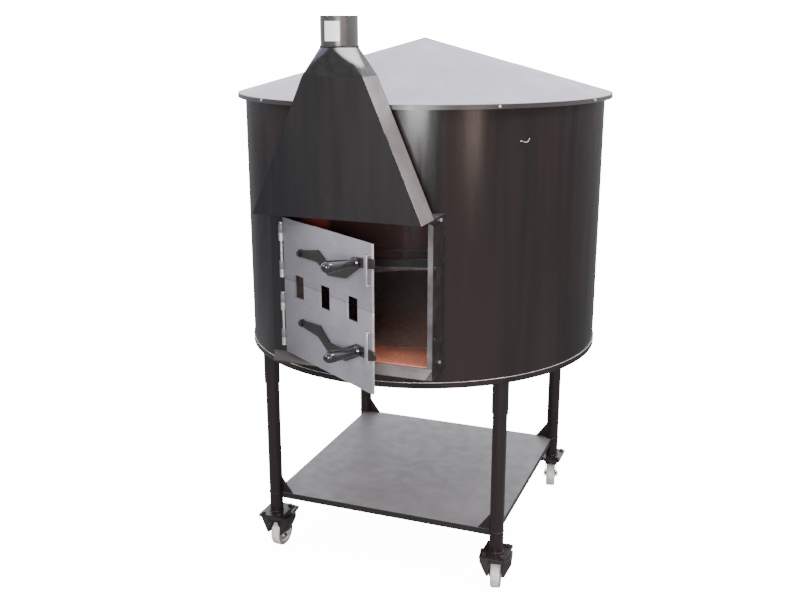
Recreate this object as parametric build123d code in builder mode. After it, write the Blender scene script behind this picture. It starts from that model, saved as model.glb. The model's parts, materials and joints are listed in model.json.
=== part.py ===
from build123d import *
from math import asin, cos, degrees, radians, sin, sqrt
import os

# A wheeled wood fired oven: steel drum, conical lid, stable door under a smoke hood, tube stand.
# Millimetres. +Z is up, the door faces -Y, and Z = 0 is the floor under the wheels.

# Drum. Its vertical axis stands at X = 0, Y = AXIS_Y.
AXIS_Y = 168.0
SHEET = 3.0
DRUM_R = 556.0
FLOOR_Z = 684.0
BAND_H = 17.0
HEARTH_BASE_Z = 744.0
HEARTH_Z = 774.0
HEARTH_R = 467.0
CHAMBER_WALL = 36.0
CHAMBER_BLOCKS = 16
CHAMBER_TOP_Z = 1054.0
ROOF_THICKNESS = 45.0
ROOF_FILL_Z = 1282.0

# Lid
LID_R = 578.5
LID_RIM_Z = 1469.5
LID_RISE = 162.0
LID_LIP = 12.0

# Mouth through the drum wall
MOUTH_HALF = 216.0
MOUTH_TOP_Z = 1034.0
LINTEL_H = 22.0

# Box frame round the doorway
FRAME_HALF = 239.0
FRAME_FRONT = AXIS_Y - 597.0
FRAME_PLATE = 5.0
FRAME_BASE_Z = 737.0
FRAME_TOP_Z = 1182.0
LEFT_JAMB_FACE = 45.0
RIGHT_JAMB_FACE = 15.0
JAMB_BASE_Z = 771.0
LIP_DEPTH = 28.0
LIP_DROP = 19.0
LIP_TAPER = 11.0

# Hood and flue
HOOD_FRONT = AXIS_Y - 692.0
HOOD_BACK = FRAME_FRONT + SHEET
HOOD_BASE_Z = 1182.0
HOOD_BASE_HALF = 240.3
HOOD_TOP_Z = 1545.0
HOOD_TOP_HALF = 83.0
COLLAR_R = 48.0
COLLAR_BASE_Z = 1617.0
COLLAR_TOP_Z = 1692.0
FLUE_Y = (HOOD_FRONT + HOOD_BACK) / 2

# Door leaves, drawn in a plane through the hinge axis that stands open by OPEN_ANGLE.
# U runs along the leaf from the hinge, V is the height above the floor.
HINGE_X = -201.7
HINGE_Y = AXIS_Y - 605.0
OPEN_ANGLE = 33.0
LEAF_T = 6.0
LEAF_FACE = -1.3
LEAF_START = 8.5
LEAF_WIDTH = 439.0
LEAF_BASE_Z = 776.0
SPLIT_Z = 990.0
LEAF_TOP_Z = 1161.5
SPLIT_GAP = 1.0
VENT_U = (87.0, 218.0, 349.0)
VENT_W = 49.0
VENT_LOW_Z = 947.0
VENT_HIGH_Z = 1011.0
KNUCKLE_R = 7.3
KNUCKLE_H = 23.0
KNUCKLE_GAP = 1.0
HINGE_PIN_R = 4.0
RUNNING_GAP = 0.05
UPPER_KNUCKLES_Z = (1016.0, 1119.0)
LOWER_KNUCKLES_Z = (818.0, 920.0)

# Drop latches
PIVOT_U = 109.0
UPPER_PIVOT_Z = 1079.0
LOWER_PIVOT_Z = 884.0
UPPER_LEVER_ANGLE = 6.2
LOWER_LEVER_ANGLE = -0.4
LEVER_T = 6.0
LEVER_GAP = 3.0
LEVER_LENGTH = 350.0
TONGUE_HALF = 12.0
PIVOT_BOLT_R = 4.0
GRIP_U = 283.0
GRIP_LENGTH = 105.0
GUIDE_U = 320.0
GUIDE_W = 12.0
GUIDE_LOW = -19.0
GUIDE_HIGH = 53.0
GUIDE_T = 3.0
KEEPER_ROD_R = 4.0
KEEPER_FOOT = -27.0
KEEPER_TOP = -14.9

# Stand
LEG_R = 21.2
LEG_WALL = 3.2
SLEEVE_R = 24.15
SLEEVE_LENGTH = 103.0
LEG_X = 372.0
LEG_FRONT_Y = AXIS_Y - 374.0
LEG_BACK_Y = AXIS_Y + 382.0
FOOT_PLATE_T = 5.0
SHELF_Z = 201.0
SHELF_EDGE = 20.0
GUSSET_BASE = 38.0
GUSSET_H = 52.0

# Casters
CASTER_H = 130.0
PLATE_X = 80.0
PLATE_Y = 100.0
PLATE_T = 4.0
PLATE_BOLT_X = 56.0
PLATE_BOLT_Y = 76.0
KING_PIN_R = 6.0
WHEEL_R = 45.0
WHEEL_W = 32.0
TRAIL = 24.0
AXLE_R = 5.0
FORK_T = 3.0
FORK_INNER = 18.0
FORK_CROWN_Z = 102.0
CHEEK_TOP_Z = 117.5
CHEEK_HALF = 50.0
PEDAL_PIN = (50.0, 99.0)
PEDAL_PIN_R = 2.0
CASTERS = {
    "front_left": (-LEG_X, LEG_FRONT_Y, 84.0, True),
    "front_right": (LEG_X, LEG_FRONT_Y, 101.0, True),
    "back_left": (-LEG_X, LEG_BACK_Y, 99.0, False),
    "back_right": (LEG_X, LEG_BACK_Y, 101.6, False),
}

DOOR = Plane(
    origin=(HINGE_X, HINGE_Y, 0),
    x_dir=(cos(radians(OPEN_ANGLE)), -sin(radians(OPEN_ANGLE)), 0),
    z_dir=(-sin(radians(OPEN_ANGLE)), -cos(radians(OPEN_ANGLE)), 0),
)


def block(x_range, y_range, z_range, mode=Mode.ADD):
    """A box between two corners, added to the part being built."""
    centre = Vector(*((a + b) / 2 for a, b in (x_range, y_range, z_range)))
    size = [b - a for a, b in (x_range, y_range, z_range)]
    with Locations(centre):
        Box(*size, mode=mode)


def drum_disc(radius, low_z, high_z, mode=Mode.ADD):
    """A round slab on the drum's axis."""
    with Locations((0, AXIS_Y, (low_z + high_z) / 2)):
        Cylinder(radius, high_z - low_z, mode=mode)


def drum_ring(outer, inner, low_z, high_z):
    """A tube on the drum's axis."""
    drum_disc(outer, low_z, high_z)
    drum_disc(inner, low_z, high_z, Mode.SUBTRACT)


def finish(part, name):
    part.label = name
    export_step(part, f"parts/{name}.step")


def welded(*parts):
    """Pieces that are welded face to face, kept as separate solids of one part."""
    return Compound(children=[solid for part in parts for solid in part.solids()])


# ---------------------------------------------------------------- drum and lid

def make_drum():
    shell_base = FLOOR_Z + SHEET
    lid_slope = LID_RISE / LID_R
    lid_sheet_height = SHEET * sqrt(1 + lid_slope ** 2)
    shell_top = LID_RIM_Z + (LID_R - DRUM_R) * lid_slope - lid_sheet_height
    mouth_y = (AXIS_Y - DRUM_R - 10, AXIS_Y - DRUM_R + 80)
    with BuildPart() as drum_shell:
        drum_ring(DRUM_R, DRUM_R - SHEET, shell_base, shell_top)
        block((-MOUTH_HALF, MOUTH_HALF), mouth_y, (HEARTH_BASE_Z - 2, MOUTH_TOP_Z), Mode.SUBTRACT)
    finish(drum_shell.part, "drum_shell")

    with BuildPart() as drum_base:
        drum_disc(DRUM_R + SHEET, FLOOR_Z, shell_base)
        drum_ring(DRUM_R + SHEET, DRUM_R + 0.1, shell_base, FLOOR_Z + BAND_H)
    finish(drum_base.part, "drum_base")

    lip_z = LID_RIM_Z - LID_LIP
    inner_r = LID_R - SHEET
    with BuildPart() as lid:
        with BuildSketch(Plane(origin=(0, AXIS_Y, 0), x_dir=(1, 0, 0), z_dir=(0, -1, 0))):
            with BuildLine():
                Polyline(
                    (0, LID_RIM_Z + LID_RISE),
                    (LID_R, LID_RIM_Z),
                    (LID_R, lip_z),
                    (inner_r, lip_z),
                    (inner_r, LID_RIM_Z - lid_sheet_height + SHEET * lid_slope),
                    (0, LID_RIM_Z + LID_RISE - lid_sheet_height),
                    close=True,
                )
            make_face()
        revolve(axis=Axis((0, AXIS_Y, 0), (0, 0, 1)))
    finish(lid.part, "lid")

    with BuildPart() as mouth_lintel:
        bead = (LINTEL_H + 23, LINTEL_H + 27)
        for low, high, proud in ((0, LINTEL_H, 6), (bead[0], bead[1], 4)):
            drum_ring(DRUM_R + 0.1 + proud, DRUM_R + 0.1, MOUTH_TOP_Z + low, MOUTH_TOP_Z + high)
        keep_half = FRAME_HALF - FRAME_PLATE - 2
        front = (AXIS_Y - DRUM_R - 20, AXIS_Y - DRUM_R / 2)
        block((-keep_half, keep_half), front, (MOUTH_TOP_Z - 5, MOUTH_TOP_Z + 80), Mode.INTERSECT)
    finish(mouth_lintel.part, "mouth_lintel")


# ---------------------------------------------------------------- inside the drum

def make_chamber():
    inner = HEARTH_R + 1
    outer = inner + CHAMBER_WALL
    shell_inner = DRUM_R - SHEET - 0.3
    mouth_y = (AXIS_Y - DRUM_R, AXIS_Y - HEARTH_R / 2)

    with BuildPart() as floor_insulation:
        drum_disc(shell_inner, FLOOR_Z + SHEET, HEARTH_BASE_Z)
    finish(floor_insulation.part, "floor_insulation")

    with BuildPart() as hearth_disc:
        drum_disc(HEARTH_R, HEARTH_BASE_Z, HEARTH_Z)
    finish(hearth_disc.part, "hearth_disc")

    make_chamber_wall(inner, outer)

    with BuildPart() as chamber_roof:
        drum_disc(outer, CHAMBER_TOP_Z, CHAMBER_TOP_Z + ROOF_THICKNESS)
    finish(chamber_roof.part, "chamber_roof")

    with BuildPart() as wall_insulation:
        drum_ring(shell_inner, outer + 0.3, HEARTH_BASE_Z, CHAMBER_TOP_Z)
        block((-MOUTH_HALF, MOUTH_HALF), mouth_y, (HEARTH_BASE_Z, MOUTH_TOP_Z), Mode.SUBTRACT)
    finish(wall_insulation.part, "wall_insulation")

    with BuildPart() as roof_insulation:
        drum_disc(shell_inner, CHAMBER_TOP_Z, ROOF_FILL_Z)
        drum_disc(outer, CHAMBER_TOP_Z, CHAMBER_TOP_Z + ROOF_THICKNESS, Mode.SUBTRACT)
    finish(roof_insulation.part, "roof_insulation")


def make_chamber_wall(inner, outer):
    """Curved refractory blocks round the hearth, with a lintel block over the mouth."""
    joint = 1.0
    mouth_angle = degrees(asin((MOUTH_HALF + joint) / inner))
    step = (360 - 2 * mouth_angle) / CHAMBER_BLOCKS
    blocks = []
    for index in range(CHAMBER_BLOCKS):
        start = -90 + mouth_angle + index * step
        blocks.append(chamber_block(inner, outer, start, step - degrees(joint / inner), HEARTH_BASE_Z))
    with BuildPart() as lintel:
        drum_ring(outer, inner, MOUTH_TOP_Z, CHAMBER_TOP_Z)
        over_mouth = (AXIS_Y - outer, AXIS_Y - inner / 2)
        block((-MOUTH_HALF, MOUTH_HALF), over_mouth, (MOUTH_TOP_Z, CHAMBER_TOP_Z), Mode.INTERSECT)
    finish(welded(lintel.part, *blocks), "chamber_wall")


def chamber_block(inner, outer, start, sweep, base_z):
    with BuildPart() as one_block:
        with BuildSketch(Plane(origin=(0, AXIS_Y, base_z), x_dir=(1, 0, 0), z_dir=(0, 0, 1))):
            with BuildLine():
                CenterArc((0, 0), inner, start, sweep)
                CenterArc((0, 0), outer, start, sweep)
                for angle in (start, start + sweep):
                    ray = Vector(cos(radians(angle)), sin(radians(angle)))
                    Line(ray * inner, ray * outer)
            make_face()
        extrude(amount=CHAMBER_TOP_Z - base_z)
    return one_block.part


def make_mouth_lining():
    """Steel cheeks and a top plate that line the passage from the drum wall to the chamber."""
    half = MOUTH_HALF - 0.2
    top = MOUTH_TOP_Z - 0.2
    depth = (AXIS_Y - DRUM_R, AXIS_Y - HEARTH_R / 2)
    plates = []
    for x_range, z_range in (
        ((-half, -half + SHEET), (HEARTH_Z + 0.5, top)),
        ((half - SHEET, half), (HEARTH_Z + 0.5, top)),
        ((-half + SHEET, half - SHEET), (top - SHEET, top)),
    ):
        with BuildPart() as plate:
            block(x_range, depth, z_range)
            drum_disc(DRUM_R - SHEET - 0.4, HEARTH_Z - 50, MOUTH_TOP_Z + 50, Mode.INTERSECT)
            drum_disc(HEARTH_R + 1.4, HEARTH_Z - 50, MOUTH_TOP_Z + 50, Mode.SUBTRACT)
        plates.append(plate.part)
    finish(welded(*plates), "mouth_lining")


def make_mouth_tiles():
    """Fired clay tiles from the sill back to the round hearth, with open joints between them."""
    tile_count = 4
    joint = 1.5
    front_half = FRAME_HALF - FRAME_PLATE - 0.5
    inner_half = MOUTH_HALF - 1
    front_y = FRAME_FRONT + FRAME_PLATE + 0.3
    back_y = AXIS_Y - HEARTH_R / 2
    with BuildPart() as mouth_tiles:
        with BuildSketch(Plane.XY.offset(HEARTH_BASE_Z)):
            with Locations((0, (front_y + back_y) / 2)):
                Rectangle(2 * front_half, back_y - front_y)
            with Locations((0, AXIS_Y)):
                Circle(DRUM_R + 0.5, mode=Mode.SUBTRACT)
            with BuildSketch(Plane.XY, mode=Mode.PRIVATE) as throat:
                with Locations((0, (front_y + back_y) / 2)):
                    Rectangle(2 * inner_half, back_y - front_y)
                with Locations((0, AXIS_Y)):
                    Circle(HEARTH_R + 0.5, mode=Mode.SUBTRACT)
            add(throat.sketch)
            pitch = 2 * front_half / tile_count
            for index in range(1, tile_count):
                with Locations((-front_half + index * pitch, (front_y + back_y) / 2)):
                    Rectangle(joint, back_y - front_y, mode=Mode.SUBTRACT)
        extrude(amount=HEARTH_Z - HEARTH_BASE_Z - 0.5)
    finish(mouth_tiles.part, "mouth_tiles")


# ---------------------------------------------------------------- door frame

def make_jamb(name, side, face_width):
    """One side of the box frame: a plate back to the drum, and a face plate beside the doorway."""
    outer = side * FRAME_HALF
    inner = outer - side * FRAME_PLATE
    with BuildPart() as wall:
        block(sorted((outer, inner)), (FRAME_FRONT, AXIS_Y - DRUM_R / 2), (JAMB_BASE_Z, FRAME_TOP_Z))
        drum_disc(DRUM_R + 0.2, JAMB_BASE_Z, FRAME_TOP_Z, Mode.SUBTRACT)
    with BuildPart() as face:
        face_x = sorted((inner, outer - side * face_width))
        block(face_x, (FRAME_FRONT, FRAME_FRONT + FRAME_PLATE), (JAMB_BASE_Z, FRAME_TOP_Z - FRAME_PLATE))
    finish(welded(wall.part, face.part), name)


def make_frame():
    make_jamb("jamb_left", -1, LEFT_JAMB_FACE)
    make_jamb("jamb_right", 1, RIGHT_JAMB_FACE)
    inner_half = FRAME_HALF - FRAME_PLATE
    drum_side = AXIS_Y - DRUM_R / 2
    apron = (FRAME_BASE_Z + FRAME_PLATE, JAMB_BASE_Z)
    plates = []
    for x_range, y_range, z_range in (
        ((-FRAME_HALF, FRAME_HALF), (FRAME_FRONT, drum_side), (FRAME_BASE_Z, FRAME_BASE_Z + FRAME_PLATE)),
        ((-inner_half, inner_half), (FRAME_FRONT, FRAME_FRONT + FRAME_PLATE), apron),
        ((-FRAME_HALF, -inner_half), (FRAME_FRONT, drum_side), apron),
        ((inner_half, FRAME_HALF), (FRAME_FRONT, drum_side), apron),
    ):
        with BuildPart() as plate:
            block(x_range, y_range, z_range)
            drum_disc(DRUM_R + 0.2, FRAME_BASE_Z, HEARTH_Z, Mode.SUBTRACT)
        plates.append(plate.part)
    finish(welded(*plates), "frame_sill")

    with BuildPart() as frame_head:
        block(
            (-inner_half, inner_half), (FRAME_FRONT, drum_side),
            (FRAME_TOP_Z - FRAME_PLATE, FRAME_TOP_Z),
        )
        drum_disc(DRUM_R + 0.2, FRAME_TOP_Z - 2 * FRAME_PLATE, FRAME_TOP_Z, Mode.SUBTRACT)
    finish(frame_head.part, "frame_head")

    with BuildPart() as ash_lip:
        with BuildSketch(Plane.YZ.offset(-FRAME_HALF)):
            with BuildLine():
                Polyline(
                    (FRAME_FRONT, JAMB_BASE_Z),
                    (FRAME_FRONT - LIP_DEPTH, JAMB_BASE_Z - LIP_DROP),
                    (FRAME_FRONT - LIP_DEPTH, JAMB_BASE_Z - LIP_DROP - FRAME_PLATE),
                    (FRAME_FRONT, JAMB_BASE_Z - FRAME_PLATE),
                    close=True,
                )
            make_face()
        extrude(amount=2 * FRAME_HALF)
        with BuildSketch(Plane.XY.offset(JAMB_BASE_Z - 60)):
            with BuildLine():
                Polyline(
                    (-FRAME_HALF, FRAME_FRONT),
                    (FRAME_HALF, FRAME_FRONT),
                    (FRAME_HALF - LIP_TAPER, FRAME_FRONT - LIP_DEPTH),
                    (-FRAME_HALF + LIP_TAPER, FRAME_FRONT - LIP_DEPTH),
                    close=True,
                )
            make_face()
        extrude(amount=80, mode=Mode.INTERSECT)
    finish(ash_lip.part, "ash_lip")


def make_frame_knuckles():
    """Barrels welded to the left jamb, under each leaf barrel."""
    tab = (HINGE_X - 6.5, HINGE_X + 2.5)
    with BuildPart() as frame_knuckles:
        for leaf_knuckle_z in LOWER_KNUCKLES_Z + UPPER_KNUCKLES_Z:
            top = leaf_knuckle_z - KNUCKLE_GAP
            base = top - KNUCKLE_H
            with Locations((HINGE_X, HINGE_Y, (base + top) / 2)):
                Cylinder(KNUCKLE_R, KNUCKLE_H)
            block(tab, (HINGE_Y, FRAME_FRONT), (base, top))
        for z in LOWER_KNUCKLES_Z + UPPER_KNUCKLES_Z:
            with Locations((HINGE_X, HINGE_Y, z)):
                Cylinder(HINGE_PIN_R, 4 * KNUCKLE_H, mode=Mode.SUBTRACT)
    finish(frame_knuckles.part, "frame_knuckles")

    with BuildPart() as hinge_pins:
        for knuckles in (LOWER_KNUCKLES_Z, UPPER_KNUCKLES_Z):
            low = knuckles[0] - KNUCKLE_GAP - KNUCKLE_H
            high = knuckles[1] + KNUCKLE_H
            with Locations((HINGE_X, HINGE_Y, (low + high + 4) / 2)):
                Cylinder(HINGE_PIN_R, high - low + 4)
            with Locations((HINGE_X, HINGE_Y, high + 4)):
                Cylinder(HINGE_PIN_R + 2, 3)
    finish(hinge_pins.part, "hinge_pins")


def make_keepers():
    """Bent rod hooks on the frame's right side, which the latch tongues drop behind."""
    hook_x = FRAME_HALF + 12
    foot_y = FRAME_FRONT + 12
    hook_y = HINGE_Y - LEAF_T - LEVER_GAP - KEEPER_ROD_R - 1.0
    with BuildPart() as latch_keepers:
        for pivot_z in (LOWER_PIVOT_Z, UPPER_PIVOT_Z):
            foot_z = pivot_z + KEEPER_FOOT
            foot = Plane(origin=(FRAME_HALF, foot_y, foot_z), x_dir=(0, 1, 0), z_dir=(1, 0, 0))
            with BuildSketch(foot) as rod_end:
                Circle(KEEPER_ROD_R)
            with BuildLine() as route:
                FilletPolyline(
                    (FRAME_HALF, foot_y, foot_z), (hook_x, foot_y, foot_z), (hook_x, hook_y, foot_z),
                    (hook_x, hook_y, pivot_z + KEEPER_TOP), radius=KEEPER_ROD_R + 1,
                )
            sweep(sections=rod_end.sketch, path=route.wires()[0])
    finish(latch_keepers.part, "latch_keepers")


# ---------------------------------------------------------------- hood and flue

def hood_half(z):
    fraction = (z - HOOD_BASE_Z) / (HOOD_TOP_Z - HOOD_BASE_Z)
    return HOOD_BASE_HALF + (HOOD_TOP_HALF - HOOD_BASE_HALF) * fraction


def make_hood():
    for name, low_z, back_y in (
        ("hood_front", HOOD_BASE_Z, HOOD_FRONT + SHEET),
        ("hood_back", FRAME_TOP_Z, HOOD_BACK),
    ):
        with BuildPart() as hood_plate:
            with BuildSketch(Plane(origin=(0, back_y, 0), x_dir=(1, 0, 0), z_dir=(0, -1, 0))):
                with BuildLine():
                    Polyline(
                        (-hood_half(low_z), low_z),
                        (hood_half(low_z), low_z),
                        (HOOD_TOP_HALF, HOOD_TOP_Z),
                        (-HOOD_TOP_HALF, HOOD_TOP_Z),
                        close=True,
                    )
                make_face()
            extrude(amount=SHEET)
        finish(hood_plate.part, name)

    run = HOOD_BASE_HALF - HOOD_TOP_HALF
    rise = HOOD_TOP_Z - HOOD_BASE_Z
    wall_run = SHEET * sqrt(1 + (run / rise) ** 2)
    with BuildPart() as hood_sides:
        for side in (-1, 1):
            with BuildSketch(Plane(origin=(0, FRAME_FRONT, 0), x_dir=(1, 0, 0), z_dir=(0, -1, 0))):
                with BuildLine():
                    Polyline(
                        (side * HOOD_BASE_HALF, HOOD_BASE_Z),
                        (side * HOOD_TOP_HALF, HOOD_TOP_Z),
                        (side * (HOOD_TOP_HALF - wall_run), HOOD_TOP_Z),
                        (side * (HOOD_BASE_HALF - wall_run), HOOD_BASE_Z),
                        close=True,
                    )
                make_face()
            extrude(amount=FRAME_FRONT - HOOD_FRONT - SHEET)
    finish(hood_sides.part, "hood_sides")


def square_to_round(inset):
    """Flat triangles with a cone at each corner, from the hood's top up to the round collar."""
    flat = 0.6
    depth = HOOD_BACK - HOOD_FRONT - 2 * inset
    width = 2 * (HOOD_TOP_HALF - inset)
    neck = 2 * (COLLAR_R - inset)
    with BuildPart() as shape:
        with BuildSketch(Plane.XY.offset(HOOD_TOP_Z)):
            with Locations((0, FLUE_Y)):
                RectangleRounded(width, depth, flat)
        with BuildSketch(Plane.XY.offset(COLLAR_BASE_Z)):
            with Locations((0, FLUE_Y)):
                RectangleRounded(neck, neck, neck / 2 - flat)
        loft(ruled=True)
    return shape.part


def make_flue():
    with BuildPart() as hood_transition:
        add(square_to_round(0))
        add(square_to_round(SHEET), mode=Mode.SUBTRACT)
    finish(hood_transition.part, "hood_transition")

    with BuildPart() as flue_collar:
        with BuildSketch(Plane.XY.offset(COLLAR_BASE_Z)):
            with Locations((0, FLUE_Y)):
                Circle(COLLAR_R)
                Circle(COLLAR_R - SHEET, mode=Mode.SUBTRACT)
        extrude(amount=COLLAR_TOP_Z - COLLAR_BASE_Z)
    finish(flue_collar.part, "flue_collar")


def make_hood_tabs():
    """Plates that carry the hood's lower corners back along the frame's sides."""
    tab_end = FRAME_FRONT + 60
    with BuildPart() as hood_tabs:
        for side in (-1, 1):
            with BuildSketch(Plane.YZ.offset(side * FRAME_HALF)):
                with BuildLine():
                    Polyline(
                        (HOOD_FRONT + 40, HOOD_BASE_Z),
                        (FRAME_FRONT + 4, HOOD_BASE_Z - 16),
                        (tab_end, HOOD_BASE_Z - 16),
                        (tab_end, HOOD_BASE_Z - 4),
                        (FRAME_FRONT + 8, HOOD_BASE_Z),
                        close=True,
                    )
                make_face()
            extrude(amount=side * SHEET)
    finish(hood_tabs.part, "hood_tabs")


def make_frame_bolts():
    """Hexagon bolt heads on the frame's sides."""
    head_h = 4.0
    head_r = 5.0
    bolts = ((FRAME_HALF + SHEET, FRAME_FRONT + 48, HOOD_BASE_Z - 9), (FRAME_HALF, FRAME_FRONT + 57, HEARTH_Z))
    with BuildPart() as frame_bolts:
        for side in (-1, 1):
            for x, y, z in bolts:
                with BuildSketch(Plane.YZ.offset(side * x)):
                    with Locations((y, z)):
                        RegularPolygon(head_r, 6)
                extrude(amount=side * head_h)
    finish(frame_bolts.part, "frame_bolts")


# ---------------------------------------------------------------- door leaves

def make_leaf(name, low_z, high_z, knuckles_z):
    with BuildPart() as leaf:
        with BuildSketch(DOOR.offset(LEAF_FACE - LEAF_T)):
            with Locations(((LEAF_START + LEAF_WIDTH) / 2, (low_z + high_z) / 2)):
                Rectangle(LEAF_WIDTH - LEAF_START, high_z - low_z)
            for vent_u in VENT_U:
                with Locations((vent_u, (VENT_LOW_Z + VENT_HIGH_Z) / 2)):
                    Rectangle(VENT_W, VENT_HIGH_Z - VENT_LOW_Z, mode=Mode.SUBTRACT)
        extrude(amount=LEAF_T)
        for z in knuckles_z:
            with BuildSketch(DOOR.offset(LEAF_FACE - LEAF_T)):
                with Locations(((LEAF_START + 1) / 2, z + KNUCKLE_H / 2)):
                    Rectangle(LEAF_START + 1, KNUCKLE_H)
            extrude(amount=LEAF_T)
            with Locations((HINGE_X, HINGE_Y, z + KNUCKLE_H / 2)):
                Cylinder(KNUCKLE_R, KNUCKLE_H)
        for z in knuckles_z:
            with Locations((HINGE_X, HINGE_Y, z + KNUCKLE_H / 2)):
                Cylinder(HINGE_PIN_R + RUNNING_GAP, 2 * KNUCKLE_H, mode=Mode.SUBTRACT)
    finish(leaf.part, name)


def lever_plane(pivot_z, angle):
    """A plane on the lever's back face, with X along the lever from its pivot."""
    back = DOOR.offset(LEAF_FACE + LEVER_GAP)
    along = back.x_dir.rotate(Axis((0, 0, 0), back.z_dir), angle)
    return Plane(origin=back.from_local_coords(Vector(PIVOT_U, pivot_z, 0)), x_dir=along, z_dir=back.z_dir)


def make_latch(name, pivot_z, angle):
    """A drop latch: S-shaped lever, pear handle, pivot bolt, and the staple that guides it."""
    plane = lever_plane(pivot_z, angle)
    with BuildPart() as lever:
        with BuildSketch(plane) as outline:
            with BuildLine():
                Polyline(
                    (0, 8), (92, 16), (140, -19), (198, -19), (262, 11), (LEVER_LENGTH, TONGUE_HALF),
                    (LEVER_LENGTH, -TONGUE_HALF), (285, -14), (218, -47), (138, -47), (86, -16), (0, -8),
                    close=True,
                )
            make_face()
            inner_corners = outline.vertices().filter_by(
                lambda v: 50 < plane.to_local_coords(Vector(v)).X < 300
            )
            fillet(inner_corners, 11)
            Circle(11)
            Circle(PIVOT_BOLT_R + RUNNING_GAP, mode=Mode.SUBTRACT)
        extrude(amount=LEVER_T)
    finish(lever.part, f"{name}_lever")

    with BuildPart() as grip:
        foot = plane.from_local_coords(Vector(GRIP_U, 0, LEVER_T))
        with BuildSketch(Plane(origin=foot, x_dir=plane.x_dir, z_dir=-plane.y_dir)):
            with BuildLine():
                Polyline((0, 0), (13, 0), (13, 9), (10, 13))
                Spline((10, 13), (11.5, 40), (15, 76), (13.5, 94), (0, GRIP_LENGTH))
                Line((0, GRIP_LENGTH), (0, 0))
            make_face()
        revolve(axis=Axis(foot, plane.z_dir))
    finish(grip.part, f"{name}_grip")

    with BuildPart() as pivot:
        with BuildSketch(plane.offset(-LEVER_GAP)):
            Circle(10)
        extrude(amount=LEVER_GAP - 0.1)
        with BuildSketch(plane.offset(-LEVER_GAP)):
            Circle(PIVOT_BOLT_R)
        extrude(amount=LEVER_GAP + LEVER_T + 0.4)
        with BuildSketch(plane.offset(LEVER_T + 0.3)):
            RegularPolygon(8, 6)
        extrude(amount=5)
    finish(pivot.part, f"{name}_pivot")

    bridge = LEVER_GAP + LEVER_T + 1.8
    low = pivot_z + GUIDE_LOW
    high = pivot_z + GUIDE_HIGH
    guide_u = PIVOT_U + GUIDE_U
    legs = []
    for foot_z, off, height, rise in (
        (low - GUIDE_T / 2, 0, GUIDE_T, bridge),
        (high + GUIDE_T / 2, 0, GUIDE_T, bridge),
        ((low + high) / 2, bridge, high - low + 2 * GUIDE_T, GUIDE_T),
    ):
        with BuildPart() as leg:
            with BuildSketch(DOOR.offset(LEAF_FACE + off)):
                with Locations((guide_u, foot_z)):
                    Rectangle(GUIDE_W, height)
            extrude(amount=rise)
        legs.append(leg.part)
    finish(welded(*legs), f"{name}_guide")


# ---------------------------------------------------------------- stand

def make_stand():
    corners = [(x, y) for x in (-LEG_X, LEG_X) for y in (LEG_FRONT_Y, LEG_BACK_Y)]
    with BuildPart() as leg_sleeves:
        with BuildSketch(Plane.XY.offset(FLOOR_Z - SLEEVE_LENGTH)):
            with Locations(corners):
                Circle(SLEEVE_R)
            with Locations(corners):
                Circle(LEG_R + 0.1, mode=Mode.SUBTRACT)
        extrude(amount=SLEEVE_LENGTH)
    finish(leg_sleeves.part, "leg_sleeves")

    foot_top = CASTER_H + FOOT_PLATE_T
    for name, (x, y, heading, braked) in CASTERS.items():
        with BuildPart() as foot:
            with BuildSketch(Plane.XY.offset(CASTER_H)):
                with Locations((x, y)):
                    Rectangle(PLATE_X, PLATE_Y)
                    with GridLocations(PLATE_BOLT_X, PLATE_BOLT_Y, 2, 2):
                        Circle(4.2, mode=Mode.SUBTRACT)
            extrude(amount=FOOT_PLATE_T)
        with BuildPart() as tube:
            with BuildSketch(Plane.XY.offset(foot_top)):
                with Locations((x, y)):
                    Circle(LEG_R)
                    Circle(LEG_R - LEG_WALL, mode=Mode.SUBTRACT)
            extrude(amount=FLOOR_Z - 6 - foot_top)
        finish(welded(foot.part, tube.part), f"leg_{name}")

    depth = LEG_BACK_Y - LEG_FRONT_Y
    centre_y = (LEG_FRONT_Y + LEG_BACK_Y) / 2
    front_y, back_y = LEG_FRONT_Y, LEG_BACK_Y
    side_x = LEG_X - SHEET
    under = (SHELF_Z - SHELF_EDGE, SHELF_Z - SHEET)
    plates = []
    for x_range, y_range, z_range in (
        ((-LEG_X, LEG_X), (front_y, back_y), (SHELF_Z - SHEET, SHELF_Z)),
        ((-LEG_X, LEG_X), (front_y, front_y + SHEET), under),
        ((-LEG_X, LEG_X), (back_y - SHEET, back_y), under),
        ((-LEG_X, -side_x), (front_y + SHEET, back_y - SHEET), under),
        ((side_x, LEG_X), (front_y + SHEET, back_y - SHEET), under),
    ):
        with BuildPart() as plate:
            block(x_range, y_range, z_range)
            with BuildSketch(Plane.XY.offset(SHELF_Z - SHELF_EDGE)):
                with Locations(corners):
                    Circle(LEG_R + 0.2)
            extrude(amount=SHELF_EDGE, mode=Mode.SUBTRACT)
        plates.append(plate.part)
    finish(welded(*plates), "shelf")

    with BuildPart() as shelf_gussets:
        for x, y in corners:
            inward_x = -1 if x > 0 else 1
            inward_y = -1 if y > centre_y else 1
            start = x + inward_x * (LEG_R + 0.2)
            toe = start + inward_x * GUSSET_BASE
            points = [(start, SHELF_Z), (toe, SHELF_Z), (start, SHELF_Z + GUSSET_H)]
            with BuildSketch(Plane(origin=(0, y, 0), x_dir=(1, 0, 0), z_dir=(0, -1, 0))):
                with BuildLine():
                    Polyline(*points, close=True)
                make_face()
            extrude(amount=-inward_y * FRAME_PLATE)
    finish(shelf_gussets.part, "shelf_gussets")


# ---------------------------------------------------------------- casters

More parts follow.
